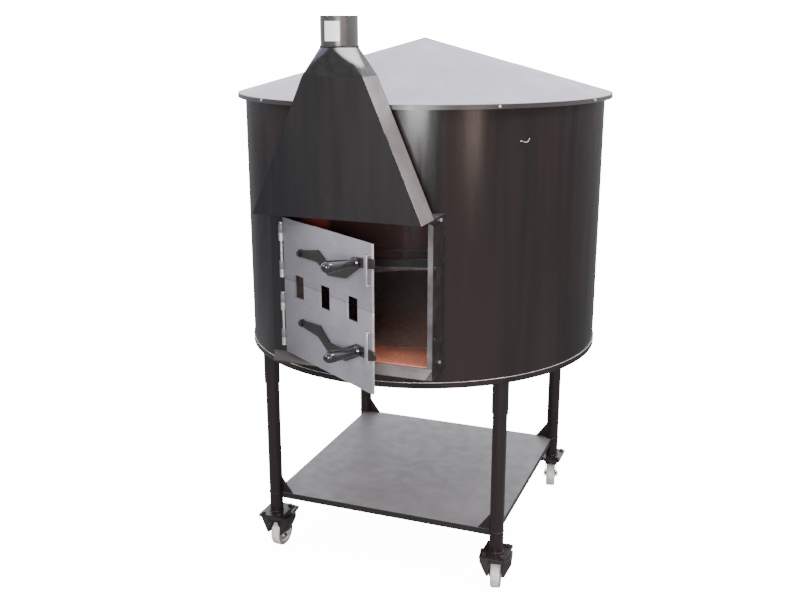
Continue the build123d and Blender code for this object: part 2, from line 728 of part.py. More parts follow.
def make_caster_plates():
    places = [(x, y) for x, y, heading, braked in CASTERS.values()]
    with BuildPart() as caster_plates:
        with BuildSketch(Plane.XY.offset(CASTER_H - PLATE_T)):
            for x, y in places:
                with Locations((x, y)):
                    Rectangle(PLATE_X, PLATE_Y)
            for x, y in places:
                with Locations((x, y)):
                    Circle(KING_PIN_R + RUNNING_GAP, mode=Mode.SUBTRACT)
                    with GridLocations(PLATE_BOLT_X, PLATE_BOLT_Y, 2, 2):
                        Circle(4.2, mode=Mode.SUBTRACT)
        extrude(amount=PLATE_T)
    finish(caster_plates.part, "caster_plates")

    shank_low = CASTER_H - PLATE_T - 7
    foot_top = CASTER_H + FOOT_PLATE_T
    with BuildPart() as caster_bolts:
        for x, y in places:
            for radius, sides, low, high in (
                (4.0, 0, shank_low, foot_top),
                (7.0, 6, foot_top, foot_top + 5.5),
                (7.0, 6, shank_low + 1, CASTER_H - PLATE_T),
            ):
                with BuildSketch(Plane.XY.offset(low)):
                    with Locations((x, y)):
                        with GridLocations(PLATE_BOLT_X, PLATE_BOLT_Y, 2, 2):
                            if sides:
                                RegularPolygon(radius, sides)
                            else:
                                Circle(radius)
                extrude(amount=high - low)
    finish(caster_bolts.part, "caster_bolts")


def caster_plane(x, y, heading):
    """X along the trail, Y across the wheel, Z up, with its origin on the floor under the king pin."""
    trail_dir = (cos(radians(heading)), sin(radians(heading)), 0)
    return Plane(origin=(x, y, 0), x_dir=trail_dir, z_dir=(0, 0, 1))


def make_fork(name, base, braked):
    """Two side plates under a crown, with a turntable and king pin; braked forks add cheeks and a pedal pin."""
    side_plane = Plane(origin=base.origin, x_dir=base.x_dir, z_dir=-base.y_dir)
    across_plane = Plane(origin=base.from_local_coords(Vector(-20, 0, 0)), x_dir=base.y_dir, z_dir=base.x_dir)
    crown_top = FORK_CROWN_Z + 4
    inner = FORK_INNER + FORK_T
    pieces = []
    for side in (-1, 1):
        with BuildPart() as side_plate:
            with BuildSketch(side_plane.offset(-side * FORK_INNER)):
                with BuildLine():
                    Polyline(
                        (-26, FORK_CROWN_Z), (46, FORK_CROWN_Z), (TRAIL + 13, WHEEL_R), (TRAIL - 13, WHEEL_R),
                        (-26, FORK_CROWN_Z - 10), close=True,
                    )
                make_face()
                with Locations((TRAIL, WHEEL_R)):
                    Circle(13)
                if braked:
                    with Locations((PEDAL_PIN[0] - 3, PEDAL_PIN[1] + 1 - 4)):
                        Rectangle(14, 13)
                    with Locations(PEDAL_PIN):
                        Circle(PEDAL_PIN_R, mode=Mode.SUBTRACT)
                with Locations((TRAIL, WHEEL_R)):
                    Circle(AXLE_R, mode=Mode.SUBTRACT)
            extrude(amount=-side * FORK_T)
        pieces.append(side_plate.part)
    with BuildPart() as crown:
        with BuildSketch(base.offset(FORK_CROWN_Z)):
            with Locations((10, 0)):
                Rectangle(72, 2 * inner)
        extrude(amount=crown_top - FORK_CROWN_Z)
    with BuildPart() as turntable:
        with BuildSketch(base.offset(crown_top)):
            Circle(28)
        extrude(amount=CASTER_H - PLATE_T - 0.4 - crown_top)
        with BuildSketch(base.offset(CASTER_H - PLATE_T - 0.4)):
            Circle(KING_PIN_R)
        extrude(amount=PLATE_T)
    pieces += [crown.part, turntable.part]
    if braked:
        for side in (-1, 1):
            with BuildPart() as cheek:
                with BuildSketch(across_plane):
                    with BuildLine():
                        Polyline(
                            (side * inner, CHEEK_TOP_Z), (side * CHEEK_HALF, CHEEK_TOP_Z),
                            (side * (CHEEK_HALF - 1), CHEEK_TOP_Z - 16), (side * (inner + 7), WHEEL_R + 11),
                            (side * inner, WHEEL_R + 11), close=True,
                        )
                    make_face()
                extrude(amount=58)
            pieces.append(cheek.part)
        with BuildPart() as pedal_pin:
            with BuildSketch(side_plane.offset(-inner)):
                with Locations(PEDAL_PIN):
                    Circle(PEDAL_PIN_R)
            extrude(amount=2 * inner)
        pieces.append(pedal_pin.part)
    finish(welded(*pieces), f"fork_{name}")


def make_wheel(name, base):
    """A wheel with a rounded tread and recessed sides, and its axle bolt."""
    side_plane = Plane(origin=base.from_local_coords((TRAIL, 0, WHEEL_R)), x_dir=base.x_dir, z_dir=-base.y_dir)
    half = WHEEL_W / 2
    profile_plane = Plane(origin=side_plane.origin, x_dir=-side_plane.z_dir, z_dir=base.x_dir)
    with BuildPart() as wheel:
        with BuildSketch(profile_plane):
            with BuildLine():
                Polyline(
                    (-half, WHEEL_R - 4), (-half + 4, WHEEL_R), (half - 4, WHEEL_R), (half, WHEEL_R - 4),
                    (half, WHEEL_R - 14), (half - 6, WHEEL_R - 17), (half - 6, 17), (FORK_INNER - 0.5, 14),
                    (FORK_INNER - 0.5, AXLE_R + RUNNING_GAP), (0.5 - FORK_INNER, AXLE_R + RUNNING_GAP),
                    (0.5 - FORK_INNER, 14), (6 - half, 17), (6 - half, WHEEL_R - 17), (-half, WHEEL_R - 14),
                    close=True,
                )
            make_face()
        revolve(axis=Axis(side_plane.origin, base.y_dir))
    finish(wheel.part, f"wheel_{name}")

    outer = FORK_INNER + FORK_T
    with BuildPart() as axle:
        with BuildSketch(side_plane.offset(-outer)):
            Circle(AXLE_R)
        extrude(amount=2 * outer + 7)
        with BuildSketch(side_plane.offset(-outer - 5)):
            RegularPolygon(9, 6)
        extrude(amount=5)
        with BuildSketch(side_plane.offset(outer)):
            RegularPolygon(9, 6)
        extrude(amount=5)
    finish(axle.part, f"axle_{name}")


def make_pedal(name, base):
    """The foot pedal over the back of a braked wheel, turning on a pin across the fork."""
    side_plane = Plane(origin=base.origin, x_dir=base.x_dir, z_dir=-base.y_dir)
    pin_x, pin_z = PEDAL_PIN
    barrel_half = FORK_INNER - 0.5
    toe = [
        (pin_x + 18, pin_z + 2.5), (94, pin_z + 10), (98, pin_z + 6), (93, pin_z + 2),
        (pin_x + 20, pin_z - 4.5),
    ]
    with BuildPart() as pedal:
        with BuildSketch(side_plane.offset(-barrel_half)):
            with BuildLine():
                Polyline((pin_x, pin_z + 4), *toe, (pin_x, pin_z - 4), close=True)
            make_face()
            with Locations(PEDAL_PIN):
                Circle(4)
                Circle(PEDAL_PIN_R + RUNNING_GAP, mode=Mode.SUBTRACT)
        extrude(amount=2 * barrel_half)
        with BuildSketch(side_plane.offset(-24)):
            with BuildLine():
                Polyline(*toe, close=True)
            make_face()
        extrude(amount=48)
    finish(pedal.part, f"pedal_{name}")


def make_casters():
    make_caster_plates()
    for name, (x, y, heading, braked) in CASTERS.items():
        base = caster_plane(x, y, heading)
        make_fork(name, base, braked)
        make_wheel(name, base)
        if braked:
            make_pedal(name, base)


make_drum()
make_chamber()
make_mouth_lining()
make_mouth_tiles()
make_frame()
make_frame_knuckles()
make_keepers()
make_hood()
make_flue()
make_hood_tabs()
make_frame_bolts()
make_leaf("lower_leaf", LEAF_BASE_Z, SPLIT_Z - SPLIT_GAP / 2, LOWER_KNUCKLES_Z)
make_leaf("upper_leaf", SPLIT_Z + SPLIT_GAP / 2, LEAF_TOP_Z, UPPER_KNUCKLES_Z)
make_latch("lower", LOWER_PIVOT_Z, LOWER_LEVER_ANGLE)
make_latch("upper", UPPER_PIVOT_Z, UPPER_LEVER_ANGLE)
make_stand()
make_casters()
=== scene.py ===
import json
from math import cos, pi, radians, sin

import bmesh
import bpy
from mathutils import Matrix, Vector, noise
from mathutils.bvhtree import BVHTree


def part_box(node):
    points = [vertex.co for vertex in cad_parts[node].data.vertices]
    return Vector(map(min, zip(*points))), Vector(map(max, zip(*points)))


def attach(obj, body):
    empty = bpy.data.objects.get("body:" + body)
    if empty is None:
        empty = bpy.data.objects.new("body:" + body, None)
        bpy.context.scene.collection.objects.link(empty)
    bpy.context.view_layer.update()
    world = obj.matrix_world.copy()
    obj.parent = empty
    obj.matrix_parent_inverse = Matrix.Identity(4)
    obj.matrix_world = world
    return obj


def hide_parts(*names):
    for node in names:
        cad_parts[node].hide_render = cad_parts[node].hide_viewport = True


# Looks for a wheeled wood fired oven. Metres, in the CAD part's own frame: +Z up, the door faces -Y.

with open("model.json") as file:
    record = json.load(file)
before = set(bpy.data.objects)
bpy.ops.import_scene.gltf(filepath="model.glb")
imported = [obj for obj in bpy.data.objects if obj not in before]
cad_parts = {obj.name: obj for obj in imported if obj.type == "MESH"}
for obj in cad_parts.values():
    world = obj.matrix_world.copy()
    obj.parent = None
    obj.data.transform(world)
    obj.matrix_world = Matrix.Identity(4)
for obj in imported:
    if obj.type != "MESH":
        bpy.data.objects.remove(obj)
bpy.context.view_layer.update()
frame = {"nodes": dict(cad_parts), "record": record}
NODES = frame["nodes"]
BODIES = frame["record"]["behaviour"]["bodies"]
BODY_OF = {node: body for body, members in BODIES.items() for node in members}
SLOT_OF = {part["node"]: part["material_slot"] for part in frame["record"]["subparts"]}


# ---------------------------------------------------------------- places taken from the frame

drum_low, drum_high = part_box("drum_shell")
AXIS_Y = (drum_low.y + drum_high.y) / 2
DRUM_R = (drum_high.x - drum_low.x) / 2
lid_low, lid_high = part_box("lid")
LID_R = (lid_high.x - lid_low.x) / 2
LID_RISE = 0.162
collar_low, collar_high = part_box("flue_collar")
COLLAR_R = (collar_high.x - collar_low.x) / 2
COLLAR_Y = (collar_low.y + collar_high.y) / 2
hood_low, hood_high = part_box("hood_front")
frame_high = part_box("jamb_right")[1]
mouth_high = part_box("mouth_lining")[1]


def on_circle(radius, degrees, z, centre_y=AXIS_Y):
    return Vector((radius * cos(radians(degrees)), centre_y + radius * sin(radians(degrees)), z))


# ---------------------------------------------------------------- material helpers

class Recipe:
    """One node material under construction, with the few node patterns that every finish here uses."""

    def __init__(self, name):
        self.material = bpy.data.materials.new(name)
        self.material.use_nodes = True
        self.tree = self.material.node_tree
        self.shader = self.tree.nodes["Principled BSDF"]
        self.position = self.add("ShaderNodeTexCoord").outputs["Object"]
        self.height = None

    def add(self, kind, **values):
        node = self.tree.nodes.new(kind)
        for key, value in values.items():
            setattr(node, key, value)
        return node

    def join(self, source, target):
        self.tree.links.new(source, target)

    def stretched(self, scale):
        mapping = self.add("ShaderNodeMapping")
        mapping.inputs["Scale"].default_value = scale
        self.join(self.position, mapping.inputs["Vector"])
        return mapping.outputs["Vector"]

    def noise(self, scale, detail=4.0, roughness=0.55, stretch=None):
        node = self.add("ShaderNodeTexNoise")
        node.inputs["Scale"].default_value = scale
        node.inputs["Detail"].default_value = detail
        node.inputs["Roughness"].default_value = roughness
        node.inputs["Distortion"].default_value = 0.0
        self.join(self.stretched(stretch) if stretch else self.position, node.inputs["Vector"])
        return node.outputs["Fac"]

    def between(self, value, low, high, to_low=0.0, to_high=1.0):
        node = self.add("ShaderNodeMapRange")
        node.interpolation_type = "SMOOTHSTEP"
        for key, number in (("From Min", low), ("From Max", high), ("To Min", to_low), ("To Max", to_high)):
            node.inputs[key].default_value = number
        self.join(value, node.inputs["Value"])
        return node.outputs["Result"]

    def math(self, operation, a, b):
        node = self.add("ShaderNodeMath", operation=operation)
        for socket, value in zip(node.inputs, (a, b)):
            if isinstance(value, (int, float)):
                socket.default_value = value
            else:
                self.join(value, socket)
        return node.outputs["Value"]

    def mix(self, factor, a, b):
        node = self.add("ShaderNodeMix", data_type="RGBA")
        for socket, value in ((node.inputs["Factor"], factor), (node.inputs[6], a), (node.inputs[7], b)):
            if isinstance(value, tuple):
                socket.default_value = (*value, 1.0)
            elif isinstance(value, (int, float)):
                socket.default_value = value
            else:
                self.join(value, socket)
        return node.outputs[2]

    def axis(self, name):
        node = self.add("ShaderNodeSeparateXYZ")
        self.join(self.position, node.inputs["Vector"])
        return node.outputs[name]

    def colour(self, value):
        if isinstance(value, tuple):
            self.shader.inputs["Base Color"].default_value = (*value, 1.0)
        else:
            self.join(value, self.shader.inputs["Base Color"])

    def rough(self, value, low, high):
        self.join(self.between(value, 0.3, 0.7, low, high), self.shader.inputs["Roughness"])

    def bump(self, value, distance, strength=1.0):
        node = self.add("ShaderNodeBump")
        node.inputs["Distance"].default_value = distance
        node.inputs["Strength"].default_value = strength
        self.join(value, node.inputs["Height"])
        if self.height:
            self.join(self.height, node.inputs["Normal"])
        self.height = node.outputs["Normal"]
        self.join(self.height, self.shader.inputs["Normal"])

    def set(self, **values):
        for key, value in values.items():
            self.shader.inputs[key.replace("_", " ")].default_value = value
        return self


# ---------------------------------------------------------------- materials

def enamel(name, colour, brown, low, high, ripple=0.0006, gloss=0.5, primer=False):
    """Sprayed black paint over rolled sheet: orange peel, a slow ripple and vertical wipe marks."""
    recipe = Recipe(name)
    patches = recipe.noise(1.6, 3.0, stretch=(3.0, 3.0, 0.25))
    finish = recipe.mix(recipe.between(patches, 0.38, 0.62), colour, brown)
    if primer:
        # The red primer between the jambs is painted dark as shade, with one painted patch of light.
        finish = recipe.mix(inside_frame(recipe), finish, primer_red(recipe))
    recipe.colour(finish)
    wipes = recipe.noise(9.0, 4.0, stretch=(6.0, 6.0, 0.35))
    fine = recipe.noise(60.0, 3.0, stretch=(4.0, 4.0, 0.6))
    mottle = recipe.math("ADD", recipe.math("MULTIPLY", wipes, 0.7), recipe.math("MULTIPLY", fine, 0.3))
    recipe.rough(mottle, low, high)
    recipe.bump(recipe.noise(5.0, 1.5, stretch=(2.2, 2.2, 0.5)), ripple)
    recipe.bump(recipe.noise(520.0, 2.0), 0.00004, 0.6)
    recipe.set(Specular_IOR_Level=gloss)
    return recipe.material


def inside_frame(recipe):
    """1 on the drum wall between the jambs, above the mouth, and 0 elsewhere."""
    x, y, z = (recipe.axis(name) for name in "XYZ")
    off_centre = recipe.math("ABSOLUTE", x, 0.0)
    across = recipe.between(off_centre, frame_high.x - 0.01, frame_high.x - 0.004, 1.0, 0.0)
    front = recipe.between(y, frame_high.y, frame_high.y + 0.01, 1.0, 0.0)
    low = recipe.between(z, mouth_high.z - 0.004, mouth_high.z)
    high = recipe.between(z, frame_high.z - 0.01, frame_high.z, 1.0, 0.0)
    in_plan = recipe.math("MULTIPLY", across, front)
    return recipe.math("MULTIPLY", in_plan, recipe.math("MULTIPLY", low, high))


def primer_red(recipe):
    """Red primer with soot mottling, painted almost black as shade in the recess between the jambs, and
    brighter red in one patch near the hinge side as a painted pool of light.
    """
    soot_and_shade_mask = recipe.between(recipe.noise(11.0, 5.0), 0.35, 0.7)
    shaded_primer = recipe.mix(soot_and_shade_mask, (0.02, 0.008, 0.0075), (0.011, 0.0065, 0.0063))
    off_x = recipe.math("ABSOLUTE", recipe.math("ADD", recipe.axis("X"), 0.13), 0.0)
    off_z = recipe.math("ABSOLUTE", recipe.math("SUBTRACT", recipe.axis("Z"), frame_high.z - 0.045), 0.0)
    near_x = recipe.between(off_x, 0.03, 0.06, 1.0, 0.0)
    near_z = recipe.between(off_z, 0.02, 0.045, 1.0, 0.0)
    painted_light_patch = recipe.math("MULTIPLY", near_x, near_z)
    return recipe.mix(painted_light_patch, shaded_primer, (0.1, 0.02, 0.016))


BLACK = (0.012, 0.0095, 0.0095)


def lid_paint():
    recipe = Recipe("lid_paint")
    # Painted reflection: the top's pale lavender grey stands for sky reflected in black paint, mottled with
    # dust and sheen; the turned-down lip keeps the dark paint.
    dust_and_sheen = recipe.between(recipe.noise(6.0, 8.0, 0.7), 0.42, 0.75)
    top = recipe.mix(dust_and_sheen, (0.26, 0.25, 0.305), (0.34, 0.33, 0.385))
    rim_z = lid_high.z - LID_RISE
    lip = recipe.between(recipe.axis("Z"), rim_z + 0.0002, rim_z + 0.0016)
    recipe.colour(recipe.mix(lip, (0.03, 0.027, 0.03), top))
    recipe.rough(recipe.noise(14.0, 6.0, 0.65), 0.26, 0.4)
    recipe.bump(recipe.noise(2.6, 1.0), 0.0007)
    recipe.bump(recipe.noise(420.0, 2.0), 0.00004, 0.6)
    return recipe.material


def plate_steel(name, dark, light, metallic, low, high, painted_light_side=None, shaded_below=None):
    """Hot rolled plate with scale and mill lines. Its colour may change along X, as painted shade or a
    painted reflection on one side, or be painted black low down as shade.
    """
    recipe = Recipe(name)
    clouds = recipe.noise(7.0, 7.0, 0.6)
    lines = recipe.noise(30.0, 3.0, stretch=(0.5, 0.5, 9.0))
    tone = recipe.math("ADD", recipe.math("MULTIPLY", clouds, 0.75), recipe.math("MULTIPLY", lines, 0.25))
    finish = recipe.mix(recipe.between(tone, 0.36, 0.66), dark, light)
    # Painted light: one side along X takes a shade or reflection colour.
    if painted_light_side:
        near = recipe.between(recipe.axis("X"), painted_light_side[0], painted_light_side[1], 1.0, 0.0)
        finish = recipe.mix(near, finish, painted_light_side[2])
    # Painted shade: black below the given height.
    if shaded_below:
        above = recipe.between(recipe.axis("Z"), shaded_below - 0.0012, shaded_below - 0.0004)
        finish = recipe.mix(above, BLACK, finish)
    recipe.colour(finish)
    recipe.rough(recipe.noise(26.0, 5.0), low, high)
    recipe.bump(recipe.noise(4.0, 1.0), 0.0005)
    recipe.bump(recipe.noise(180.0, 4.0), 0.00008, 0.5)
    recipe.set(Metallic=metallic)
    return recipe.material


def frame_steel(name="frame_steel", painted_beyond=None):
    """Dark sooty plate, painted black on the outside of the frame where that is asked for."""
    recipe = Recipe(name)
    clouds = recipe.noise(9.0, 6.0, 0.6)
    finish = recipe.mix(recipe.between(clouds, 0.35, 0.7), (0.07, 0.063, 0.066), (0.16, 0.15, 0.155))
    if painted_beyond:
        beyond = recipe.between(recipe.axis("X"), painted_beyond - 0.0008, painted_beyond - 0.0003)
        finish = recipe.mix(beyond, finish, BLACK)
    recipe.colour(finish)
    recipe.rough(recipe.noise(30.0, 4.0), 0.35, 0.6)
    recipe.bump(recipe.noise(220.0, 3.0), 0.0001, 0.5)
    recipe.set(Metallic=0.1)
    return recipe.material


def clay(name, colour, deep, soot_and_shade_colour, soot_and_shade_from, soot_and_shade_to, grain):
    """Fired clay with a granular face, turning towards a soot colour from the front of the mouth inwards;
    on the terracotta that darkening is also painted shade, falling off into the oven.
    """
    recipe = Recipe(name)
    speckle = recipe.noise(grain, 5.0, 0.7)
    base = recipe.mix(recipe.between(speckle, 0.35, 0.7), colour, deep)
    depth = recipe.between(recipe.axis("Y"), soot_and_shade_from, soot_and_shade_to)
    soot_and_shade_mask = recipe.math("ADD", depth, recipe.math("MULTIPLY", recipe.noise(9.0, 4.0), 0.35))
    recipe.colour(recipe.mix(recipe.between(soot_and_shade_mask, 0.25, 1.2), base, soot_and_shade_colour))
    recipe.rough(recipe.noise(40.0, 3.0), 0.75, 0.95)
    recipe.bump(recipe.noise(grain * 2, 5.0, 0.7), 0.0006, 0.7)
    return recipe.material


def refractory():
    recipe = Recipe("refractory")
    clouds = recipe.between(recipe.noise(12.0, 6.0), 0.3, 0.7)
    recipe.colour(recipe.mix(clouds, (0.2, 0.15, 0.145), (0.32, 0.25, 0.24)))
    recipe.rough(recipe.noise(30.0, 4.0), 0.8, 0.97)
    recipe.bump(recipe.noise(70.0, 6.0, 0.7), 0.0015, 0.8)
    return recipe.material


def transition_paint():
    """Black paint with painted highlights on the two front corners under the collar: bluish grey on the
    left, bright grey on the right.
    """
    recipe = Recipe("transition_paint")
    low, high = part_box("hood_transition")
    height = recipe.between(recipe.axis("Z"), low.z, high.z)
    edge = recipe.math("MULTIPLY", recipe.math("SUBTRACT", 1.0, height), high.x)
    ragged_noise = recipe.noise(120.0, 6.0, 0.7)
    inside = recipe.math("SUBTRACT", recipe.math("ABSOLUTE", recipe.axis("X"), 0.0), edge)
    inside = recipe.math("ADD", inside, recipe.math("MULTIPLY", ragged_noise, 0.012))
    corner = recipe.between(inside, 0.008, 0.026)
    front = recipe.between(recipe.axis("Y"), COLLAR_Y - 0.02, COLLAR_Y, 1.0, 0.0)
    # Painted highlight: lighter on the right corner than on the left.
    right = recipe.between(recipe.axis("X"), -0.01, 0.01)
    painted_highlight = recipe.mix(right, (0.05, 0.056, 0.075), (0.4, 0.41, 0.42))
    painted_light_patch = recipe.math("MULTIPLY", corner, front)
    painted = recipe.mix(recipe.noise(20.0), (0.010, 0.0095, 0.0105), (0.016, 0.0145, 0.015))
    recipe.colour(recipe.mix(painted_light_patch, painted, painted_highlight))
    recipe.rough(recipe.noise(60.0, 4.0), 0.3, 0.45)
    recipe.bump(ragged_noise, 0.0001, 0.5)
    recipe.set(Specular_IOR_Level=0.3)
    return recipe.material


def blanket(name, colour, shade):
    recipe = Recipe(name)
    fibres = recipe.noise(90.0, 8.0, 0.8, stretch=(1.0, 1.0, 3.0))
    recipe.colour(recipe.mix(recipe.between(fibres, 0.3, 0.7), shade, colour))
    recipe.rough(fibres, 0.85, 1.0)
    recipe.bump(fibres, 0.002, 0.8)
    return recipe.material


def phenolic():
    recipe = Recipe("grip_plastic")
    flow = recipe.noise(40.0, 3.0)
    recipe.colour(recipe.mix(recipe.between(flow, 0.4, 0.65), (0.006, 0.006, 0.007), (0.012, 0.011, 0.013)))
    recipe.rough(recipe.noise(120.0, 4.0), 0.12, 0.24)
    recipe.bump(recipe.noise(60.0, 1.0), 0.0002, 0.5)
    recipe.set(Coat_Weight=0.4, Coat_Roughness=0.08)
    return recipe.material


def bright_steel(name, dark, light, low, high):
    recipe = Recipe(name)
    tone = recipe.noise(45.0, 6.0, 0.65)
    recipe.colour(recipe.mix(recipe.between(tone, 0.35, 0.7), dark, light))
    recipe.rough(recipe.noise(160.0, 3.0), low, high)
    recipe.bump(recipe.noise(300.0, 4.0), 0.00008, 0.6)
    recipe.set(Metallic=0.75)
    return recipe.material


def wheel_plastic():
    """Pale moulded nylon, scuffed and greyed where it rolls."""
    recipe = Recipe("wheel_tread")
    grime = recipe.between(recipe.noise(38.0, 7.0, 0.7), 0.42, 0.72)
    recipe.colour(recipe.mix(grime, (0.66, 0.65, 0.6), (0.3, 0.28, 0.25)))
    recipe.rough(recipe.noise(90.0, 4.0), 0.4, 0.65)
    recipe.bump(recipe.noise(240.0, 4.0), 0.0002, 0.6)
    return recipe.material


def label_paper():
    recipe = Recipe("label_paper")
    fibres = recipe.between(recipe.noise(60.0, 4.0), 0.35, 0.7)
    recipe.colour(recipe.mix(fibres, (0.78, 0.78, 0.78), (0.84, 0.84, 0.83)))
    recipe.rough(recipe.noise(200.0, 3.0), 0.45, 0.6)
    recipe.bump(recipe.noise(150.0, 2.0), 0.00005, 0.5)
    return recipe.material


def floor_finish():
    """A studio floor that photographs white and gives little light back to the object."""
    recipe = Recipe("floor_finish")
    seen = recipe.add("ShaderNodeLightPath").outputs["Is Camera Ray"]
    patches = recipe.between(recipe.noise(1.5, 5.0), 0.3, 0.7)
    shade = recipe.mix(patches, (0.15, 0.15, 0.155), (0.18, 0.18, 0.185))
    shade = recipe.mix(recipe.between(recipe.axis("Y"), 0.2, 1.6), shade, (0.05, 0.05, 0.052))
    recipe.colour(recipe.mix(seen, shade, (0.9, 0.9, 0.9)))
    recipe.rough(recipe.noise(3.0, 2.0), 0.7, 0.85)
    recipe.set(Emission_Color=(1.0, 1.0, 1.0, 1.0))
    recipe.join(recipe.math("MULTIPLY", seen, FLOOR_GLOW), recipe.shader.inputs["Emission Strength"])
    return recipe.material


FLOOR_GLOW = 14.0
SOOT = (0.22, 0.17, 0.165)
MATERIALS = {
    "drum_paint": enamel(
        "drum_paint", (0.0085, 0.0082, 0.0095), (0.019, 0.0145, 0.0135), 0.15, 0.26, 0.0006, 0.22, True,
    ),
    "lid_paint": lid_paint(),
    "hood_paint": enamel(
        "hood_paint", (0.010, 0.0095, 0.0105), (0.016, 0.0145, 0.015), 0.28, 0.4, 0.0004, 0.3,
    ),
    "collar_paint": plate_steel(
        "collar_paint", (0.034, 0.033, 0.033), (0.05, 0.047, 0.046), 0.0, 0.32, 0.45,
        # Painted reflection: an orange-brown band down the collar's left side.
        painted_light_side=(-0.0475, -0.04, (0.2, 0.115, 0.08)),
    ),
    # Painted reflection: a lit grey-brown copy of the black hood paint for the hood's side plates.
    "strip_paint": plate_steel("strip_paint", (0.13, 0.115, 0.115), (0.18, 0.16, 0.158), 0.15, 0.4, 0.55),
    "transition_paint": transition_paint(),
    "lintel_paint": enamel(
        "lintel_paint", (0.0055, 0.005, 0.0055), (0.009, 0.0075, 0.0075), 0.4, 0.55, 0.0003, 0.12,
    ),
    "frame_steel": frame_steel(),
    "jamb_steel": frame_steel("jamb_steel", frame_high.x),
    "wheel_core": plate_steel("wheel_core", (0.16, 0.15, 0.155), (0.3, 0.28, 0.28), 0.0, 0.45, 0.6),
    "lip_steel": plate_steel(
        "lip_steel", (0.12, 0.105, 0.105), (0.2, 0.18, 0.18), 0.2, 0.4, 0.55,
        # Painted shade: the lip darkens on its hinge side.
        painted_light_side=(-0.2, 0.0, (0.03, 0.026, 0.026)),
    ),
    "door_steel": plate_steel(
        "door_steel", (0.195, 0.19, 0.216), (0.26, 0.253, 0.284), 0.22, 0.42, 0.56,
        # Painted shade: the leaf darkens towards the hinge side.
        painted_light_side=(-0.26, 0.06, (0.115, 0.112, 0.127)),
    ),
    "bright_steel": bright_steel("bright_steel", (0.42, 0.37, 0.36), (0.66, 0.6, 0.58), 0.3, 0.5),
    "lever_paint": enamel(
        "lever_paint", (0.012, 0.0105, 0.011), (0.022, 0.019, 0.018), 0.28, 0.42, 0.0002, 0.3,
    ),
    "leg_paint": enamel(
        "leg_paint", (0.010, 0.0075, 0.0075), (0.018, 0.012, 0.012), 0.24, 0.38, 0.0002, 0.3,
    ),
    "shelf_paint": plate_steel(
        "shelf_paint", (0.12, 0.113, 0.117), (0.14, 0.131, 0.135), 0.12, 0.42, 0.55,
        # Painted shade: the shelf's folded edges below the top are black.
        shaded_below=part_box("shelf")[1].z,
    ),
    "grip_plastic": phenolic(),
    "zinc": bright_steel("zinc", (0.5, 0.5, 0.48), (0.72, 0.72, 0.7), 0.25, 0.42),
    "caster_black": enamel("caster_black", (0.012, 0.011, 0.012), (0.03, 0.026, 0.025), 0.3, 0.5, 0.0002),
    "wheel_tread": wheel_plastic(),
    "hearth_stone": clay("hearth_stone", (0.24, 0.13, 0.1), (0.17, 0.095, 0.075), SOOT, -0.25, 0.4, 90.0),
    "terracotta": clay(
        # Soot and painted shade: the terracotta darkens from the front of the mouth inwards.
        "terracotta", (0.74, 0.27, 0.165), (0.62, 0.2, 0.115), (0.16, 0.06, 0.045), -0.44, -0.2, 120.0,
    ),
    "refractory": refractory(),
    "insulation": blanket("insulation", (0.75, 0.73, 0.68), (0.55, 0.52, 0.47)),
    "floor_board": blanket("floor_board", (0.7, 0.68, 0.62), (0.5, 0.48, 0.43)),
}
LABEL = label_paper()

OWN_FINISH = {
    "lower_lever": "lever_paint",
    "upper_lever": "lever_paint",
    "flue_collar": "collar_paint",
    # Painted reflection: the side plates take the lit copy of the hood paint.
    "hood_sides": "strip_paint",
    "hood_transition": "transition_paint",
    "mouth_lintel": "lintel_paint",
    "jamb_left": "hood_paint",
    "jamb_right": "jamb_steel",
    "latch_keepers": "hood_paint",
    "hood_tabs": "hood_paint",
    "frame_sill": "jamb_steel",
    "lower_guide": "door_steel",
    "upper_guide": "door_steel",
    "lower_pivot": "lever_paint",
    "upper_pivot": "lever_paint",
    "ash_lip": "lip_steel",
    "caster_bolts": "caster_black",
}
for node in BODY_OF:
    NODES[node].data.materials.clear()
    NODES[node].data.materials.append(MATERIALS[OWN_FINISH.get(node, SLOT_OF[node])])


# ---------------------------------------------------------------- geometry helpers

def piece(name, mesh, material, body):
    thing = bpy.data.objects.new(name, mesh)
    bpy.context.scene.collection.objects.link(thing)
    mesh.materials.clear()
    mesh.materials.append(material)
    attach(thing, body)
    return thing


def smooth(mesh, angle=35):
    mesh.polygons.foreach_set("use_smooth", [True] * len(mesh.polygons))
    mesh.set_sharp_from_angle(angle=radians(angle))


def tube_mesh(name, points, radii, sides=10, closed=False):
    """A round bar through points, its radius given at each one."""
    bm = bmesh.new()
    count = len(points)
    rings = []
    for index, point in enumerate(points):
        ahead = points[(index + 1) % count] if closed or index + 1 < count else point
        behind = points[index - 1] if closed or index > 0 else point
        along = (ahead - behind).normalized()
        side = along.cross(Vector((0, 0, 1)))
        if side.length < 0.2:
            side = along.cross(Vector((1, 0, 0)))
        side.normalize()
        up = side.cross(along)
        radius = radii[index]
        turns = [2 * pi * k / sides for k in range(sides)]
        rings.append([bm.verts.new(point + side * radius * cos(a) + up * radius * sin(a)) for a in turns])
    spans = count if closed else count - 1
    for index in range(spans):
        near, far = rings[index], rings[(index + 1) % count]
        for k in range(sides):
            bm.faces.new((near[k], near[(k + 1) % sides], far[(k + 1) % sides], far[k]))
    if not closed:
        bm.faces.new(reversed(rings[0]))
        bm.faces.new(rings[-1])
    bmesh.ops.recalc_face_normals(bm, faces=bm.faces)
    mesh = bpy.data.meshes.new(name)
    bm.to_mesh(mesh)
    bm.free()
    smooth(mesh, 60)
    return mesh


WELD_PITCH = 0.0035


